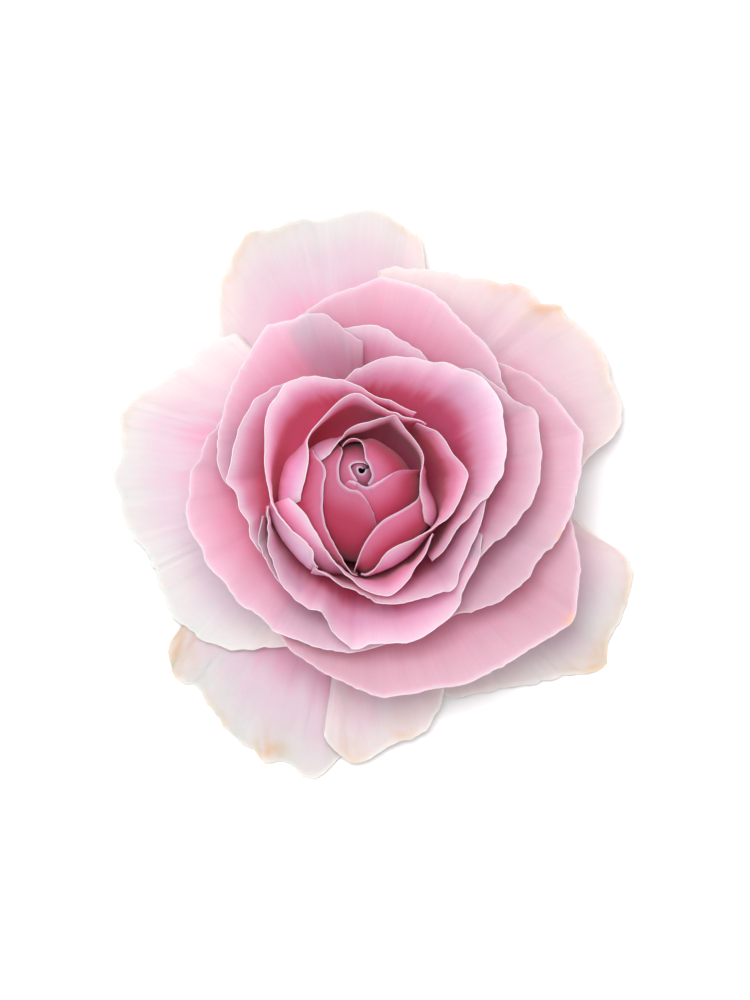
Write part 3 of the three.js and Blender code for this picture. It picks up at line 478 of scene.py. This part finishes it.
def make_petal(petal, seed):
    kind = kind_of(petal)
    colours, depths, wave = LOOKS[kind]
    lines, angles = petal["lines"], petal["grid"]
    # points at even shares of the profile's length, closer together near the rim
    seg = np.linalg.norm(np.diff(lines, axis=1), axis=2)
    run = np.concatenate([np.zeros((len(angles), 1)), np.cumsum(seg, axis=1)], axis=1)
    share = 1 - (1 - np.linspace(0, 1, MESH_ROWS)) ** 1.5
    fine = np.empty((len(angles), MESH_ROWS, 2))
    for i in range(len(angles)):
        for c in (0, 1):
            fine[i, :, c] = np.interp(share * run[i, -1], run[i], lines[i, :, c])
    depth = (1 - share)[None, :] * run[:, -1:]            # distance to the rim, down the petal
    middle = place(fine[..., 0], angles[:, None], fine[..., 1])
    across = np.radians(angles)[:, None] * np.maximum(fine[:, -1:, 0], 6) + 0 * depth
    side = np.minimum(angles - angles[0], angles[-1] - angles)[:, None] * RAD * fine[..., 0]
    edge = np.minimum(depth, np.maximum(side, 0) + 0.5)

    # waves of the surface and a rim that rolls slightly outwards
    du, dv = np.gradient(middle, axis=0), np.gradient(middle, axis=1)
    n = np.cross(du, dv)
    n /= np.linalg.norm(n, axis=2, keepdims=True)
    near_rim = np.exp(-depth / (5 + 12 * wave))
    body = np.exp(-depth / 18)
    lift = wave * smooth_noise(across, seed, (14, 0.7), (6, 0.35)) * near_rim
    lift += 0.5 * wave * smooth_noise(across + 0.4 * depth, seed + 50, (22, 0.8)) * body
    roll = 0.12 + 0.4 * wave
    lift -= roll * np.clip(1 - depth / 1.6, 0, 1) ** 2
    middle = middle + n * lift[..., None]

    thick = EDGE_THICK + (THICK - EDGE_THICK) * smoothstep(0, 2.2, edge)
    points, quads = sheet(middle, thick)

    # painted light and shade: this petal's colours are scaled lighter or darker for how the light falls
    # on it
    light = PAINTED_LIGHT_AND_SHADE.get(petal["name"][len("petal_"):], 1)
    stops = [np.minimum(linear(c) * light, 0.95) for c in colours]
    shade = stops[0] + (stops[1] - stops[0]) * smoothstep(0, depths[0], edge)[..., None]
    blotch = smooth_noise(across + 0.3 * depth, seed + 9, (16, 0.6), (5, 0.3))
    reach = depth * (1 + 0.12 * blotch)
    shade += (stops[2] - stops[1]) * smoothstep(depths[0], depths[1], reach)[..., None]
    shade += (stops[3] - stops[2]) * smoothstep(depths[1], depths[2], reach)[..., None]
    for name, angle, width, deep, strength in STAINS:
        if name == petal["name"]:
            spot = np.exp(-((angles[:, None] - angle) / width) ** 2 - (edge / deep) ** 2)
            patchy = np.clip(0.8 + 0.5 * smooth_noise(across * 3 + depth, seed + 3, (5, 0.8)), 0, 1.2)
            spot = np.clip(strength * spot * patchy, 0, 1)[..., None]
            shade = shade * (1 - spot) + linear(TAN) * spot
    tint = np.concatenate([shade, np.ones(shade.shape[:2] + (1,))], 2).reshape(-1, 4)
    flow = np.stack([across, depth, edge], 2).reshape(-1, 3)
    piece = to_mesh("rose_" + petal["name"], points, quads,
                    {"tint": np.concatenate([tint, tint]), "flow": np.concatenate([flow, flow])})
    piece.data.materials.append(petal_material(kind))
    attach(piece, "root")
    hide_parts(petal["name"])


# ---- materials ----------------------------------------------------------------------------------
class Nodes:
    """Small helper that adds and links shader nodes."""

    def __init__(self, name):
        self.material = bpy.data.materials.new(name)
        self.material.use_nodes = True
        self.tree = self.material.node_tree
        self.shader = self.tree.nodes["Principled BSDF"]

    def add(self, kind, **settings):
        node = self.tree.nodes.new("ShaderNode" + kind)
        for key, value in settings.items():
            if isinstance(getattr(node, key, None), (str, int, float, bool)):
                setattr(node, key, value)
            else:
                node.inputs[key].default_value = value
        return node

    def link(self, source, target):
        self.tree.links.new(source, target)


made_materials = {}


def petal_material(kind):
    if kind in made_materials:
        return made_materials[kind]
    m = Nodes("petal_" + kind)
    tint = m.add("Attribute", attribute_name="tint")
    flow = m.add("Attribute", attribute_name="flow")
    # veins run from the receptacle to the rim: noise drawn out along the petal
    stretch = m.add("Mapping")
    stretch.inputs["Scale"].default_value = (1.0, 0.05, 0)
    m.link(flow.outputs["Vector"], stretch.inputs["Vector"])
    veins = m.add("TexNoise")
    veins.inputs["Scale"].default_value = 1.3
    veins.inputs["Detail"].default_value = 4
    veins.inputs["Roughness"].default_value = 0.6
    m.link(stretch.outputs["Vector"], veins.inputs["Vector"])
    ramp = m.add("ValToRGB")
    ramp.color_ramp.elements[0].position, ramp.color_ramp.elements[1].position = 0.34, 0.66
    low = {"guard": (0.985, 0.955, 0.965, 1)}.get(kind, (0.985, 0.945, 0.96, 1))
    ramp.color_ramp.elements[0].color = low
    ramp.color_ramp.elements[1].color = (1, 1, 1, 1)
    m.link(veins.outputs["Fac"], ramp.inputs["Fac"])
    mix = m.add("MixRGB", blend_type="MULTIPLY")
    mix.inputs["Fac"].default_value = 1
    m.link(tint.outputs["Color"], mix.inputs["Color1"])
    m.link(ramp.outputs["Color"], mix.inputs["Color2"])
    m.link(mix.outputs["Color"], m.shader.inputs["Base Color"])
    # a fine velvety grain on top of the veins
    grain = m.add("TexNoise")
    grain.inputs["Scale"].default_value = 4.5
    grain.inputs["Detail"].default_value = 3
    m.link(flow.outputs["Vector"], grain.inputs["Vector"])
    height = m.add("MixRGB", blend_type="MIX")
    height.inputs["Fac"].default_value = 0.45
    m.link(veins.outputs["Fac"], height.inputs["Color1"])
    m.link(grain.outputs["Fac"], height.inputs["Color2"])
    bump = m.add("Bump")
    bump.inputs["Strength"].default_value = 0.5
    bump.inputs["Distance"].default_value = 0.00016
    m.link(height.outputs["Color"], bump.inputs["Height"])
    m.link(bump.outputs["Normal"], m.shader.inputs["Normal"])
    s = m.shader.inputs
    s["Roughness"].default_value = 0.62
    s["Specular IOR Level"].default_value = 0.25
    s["Subsurface Weight"].default_value = 0.85
    s["Subsurface Radius"].default_value = (1.0, 0.45, 0.5)
    s["Subsurface Scale"].default_value = 0.0016
    s["Sheen Weight"].default_value = 0.12
    s["Sheen Roughness"].default_value = 0.5
    made_materials[kind] = m.material
    return m.material


for number, petal in enumerate(petals):
    make_petal(petal, 100 + 7 * number)


# ---- receptacle and sepals ----------------------------------------------------------------------
def green_material(name, dark, light):
    m = Nodes(name)
    coords = m.add("TexCoord")
    noise = m.add("TexNoise")
    noise.inputs["Scale"].default_value = 260
    noise.inputs["Detail"].default_value = 5
    m.link(coords.outputs["Object"], noise.inputs["Vector"])
    ramp = m.add("ValToRGB")
    ramp.color_ramp.elements[0].position, ramp.color_ramp.elements[1].position = 0.3, 0.72
    ramp.color_ramp.elements[0].color = (*linear(dark), 1)
    ramp.color_ramp.elements[1].color = (*linear(light), 1)
    m.link(noise.outputs["Fac"], ramp.inputs["Fac"])
    m.link(ramp.outputs["Color"], m.shader.inputs["Base Color"])
    bump = m.add("Bump")
    bump.inputs["Strength"].default_value = 0.4
    bump.inputs["Distance"].default_value = 0.0002
    m.link(noise.outputs["Fac"], bump.inputs["Height"])
    m.link(bump.outputs["Normal"], m.shader.inputs["Normal"])
    m.shader.inputs["Roughness"].default_value = 0.55
    m.shader.inputs["Subsurface Weight"].default_value = 0.15
    m.shader.inputs["Subsurface Scale"].default_value = 0.001
    return m.material


HIP = [(0, 0), (2.4, 0), (2.5, 1.2), (3.4, 2.2), (5.2, 3.4), (6.1, 4.8), (6.2, 6.2), (5.7, 7.4),
       (5.9, 8.3), (6.4, 8.9), (5.6, 10.4), (3.3, 14.2), (0.45, 19), (0, 19.2)]
SEPAL = [(6.9, 8.3, 1.6), (9, 8.5, 3.2), (12.5, 7.6, 3.9), (16.5, 6, 3.4), (20.5, 4.2, 2.4),
         (24.5, 2.6, 1.3), (27.5, 1.7, 0.5)]
SEPALS, SEPAL_TURN = 5, 22
TURNS = 72


def make_receptacle():
    knots = np.array(HIP, float)
    run = np.concatenate([[0], np.cumsum(np.linalg.norm(np.diff(knots, axis=0), axis=1))])
    at = np.linspace(0, run[-1], 60)[1:-1]
    r, z = np.interp(at, run, knots[:, 0]), np.interp(at, run, knots[:, 1])
    r, z = blur(r.copy(), 0, 2), blur(z.copy(), 0, 2)
    z[0] = 0
    turn = np.arange(TURNS) * 2 * math.pi / TURNS
    ribs = 1 + 0.012 * np.cos(5 * turn)[:, None] + 0 * r
    ring = np.stack([r * ribs * np.cos(turn)[:, None] + FOOT[0],
                     r * ribs * np.sin(turn)[:, None] + FOOT[1], z + 0 * ribs], 2)
    count = len(r)
    points = np.concatenate([ring.reshape(-1, 3), [[FOOT[0], FOOT[1], 0], [FOOT[0], FOOT[1], 19.2]]])
    mesh = bpy.data.meshes.new("rose_receptacle")
    faces = []
    for i in range(TURNS):
        a, b = i * count, (i + 1) % TURNS * count
        faces += [(a + j, b + j, b + j + 1, a + j + 1) for j in range(count - 1)]
        faces += [(TURNS * count, b, a), (TURNS * count + 1, a + count - 1, b + count - 1)]
    mesh.from_pydata([tuple(p) for p in (points + SHIFT) * MM], [], faces)
    mesh.polygons.foreach_set("use_smooth", [True] * len(mesh.polygons))
    piece = bpy.data.objects.new("rose_receptacle", mesh)
    bpy.context.scene.collection.objects.link(piece)
    piece.data.materials.append(green_material("receptacle_green", (86, 112, 58), (138, 160, 92)))
    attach(piece, "root")
    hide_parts("receptacle")


def make_sepal(number, material):
    turn = (SEPAL_TURN + (number - 1) * 360 / SEPALS) * RAD
    knots = np.array(SEPAL)
    at = np.linspace(0, 1, SEPAL_ROWS) * (len(knots) - 1)
    reach, z, half = (np.interp(at, range(len(knots)), knots[:, c]) for c in range(3))
    reach, z, half = (blur(v.copy(), 0, 30) for v in (reach, z, half))
    side = np.linspace(-1, 1, 17)
    s, w = np.meshgrid(side, half, indexing="ij")
    wobble = smooth_noise(reach[None] + 7 * s, SEPAL_SEED + number, (9, 0.25)) * np.abs(s)
    x, y = reach[None] + 0 * s, s * w
    height = z[None] - 0.35 * (1 - s * s) + 0.6 * wobble + 0.25 * np.exp(-(s / 0.12) ** 2) * -1
    middle = np.stack([FOOT[0] + x * math.cos(turn) - y * math.sin(turn),
                       FOOT[1] + x * math.sin(turn) + y * math.cos(turn), height], 2)
    thick = SEPAL_THICK[0] + SEPAL_THICK[1] * (1 - np.abs(s))
    points, quads = sheet(middle, thick)
    piece = to_mesh(f"rose_sepal_{number}", points, quads, {})
    piece.data.materials.append(material)
    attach(piece, "root")
    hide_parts(f"sepal_{number}")


make_receptacle()
sepal_green = green_material("sepal_green", (84, 116, 62), (132, 160, 96))
for number in range(1, SEPALS + 1):
    make_sepal(number, sepal_green)


# ---- floor, light, camera -----------------------------------------------------------------------
def make_floor():
    bpy.ops.mesh.primitive_plane_add(size=8, location=(0, 0, cad_box[0].z))
    floor = bpy.context.object
    floor.name = "floor"
    m = Nodes("floor_white")
    noise = m.add("TexNoise")
    noise.inputs["Scale"].default_value = 40
    ramp = m.add("ValToRGB")
    ramp.color_ramp.elements[0].color = (0.975, 0.975, 0.975, 1)
    ramp.color_ramp.elements[1].color = (0.985, 0.985, 0.985, 1)
    m.link(noise.outputs["Fac"], ramp.inputs["Fac"])
    m.link(ramp.outputs["Color"], m.shader.inputs["Base Color"])
    m.shader.inputs["Roughness"].default_value = 0.9
    m.shader.inputs["Specular IOR Level"].default_value = 0.1
    floor.data.materials.append(m.material)


def aim(thing, at):
    thing.rotation_euler = (Vector(at) - thing.location).to_track_quat("-Z", "Y").to_euler()


def make_lights():
    world = bpy.data.worlds.new("studio")
    bpy.context.scene.world = world
    world.use_nodes = True
    background = world.node_tree.nodes["Background"]
    background.inputs["Color"].default_value = (1, 1, 1, 1)
    background.inputs["Strength"].default_value = WORLD
    for name, place_at, size, watts in LIGHTS:
        data = bpy.data.lights.new(name, "AREA")
        data.shape, data.size, data.energy = "DISK", size, watts
        lamp = bpy.data.objects.new(name, data)
        lamp.location = place_at
        bpy.context.scene.collection.objects.link(lamp)
        aim(lamp, (0, 0, 0.02))


def make_camera():
    """Looks straight down; the bloom's swirl is a little above and left of the middle of the view."""
    data = bpy.data.cameras.new("camera")
    data.sensor_width = SENSOR
    distance = CAMERA_HEIGHT - FOCUS_HEIGHT
    data.lens = SENSOR * distance / VIEW_SIDE
    data.clip_end = 20
    camera = bpy.data.objects.new("camera", data)
    camera.location = ((SHIFT[0] + VIEW_OFFSET[0]) * MM, (SHIFT[1] + VIEW_OFFSET[1]) * MM,
                       CAMERA_HEIGHT)
    bpy.context.scene.collection.objects.link(camera)
    bpy.context.scene.camera = camera


make_floor()
make_lights()
make_camera()
bpy.context.scene.view_settings.view_transform = "Standard"
bpy.context.scene.cycles.max_bounces = BOUNCES
bpy.context.scene.cycles.diffuse_bounces = DIFFUSE_BOUNCES
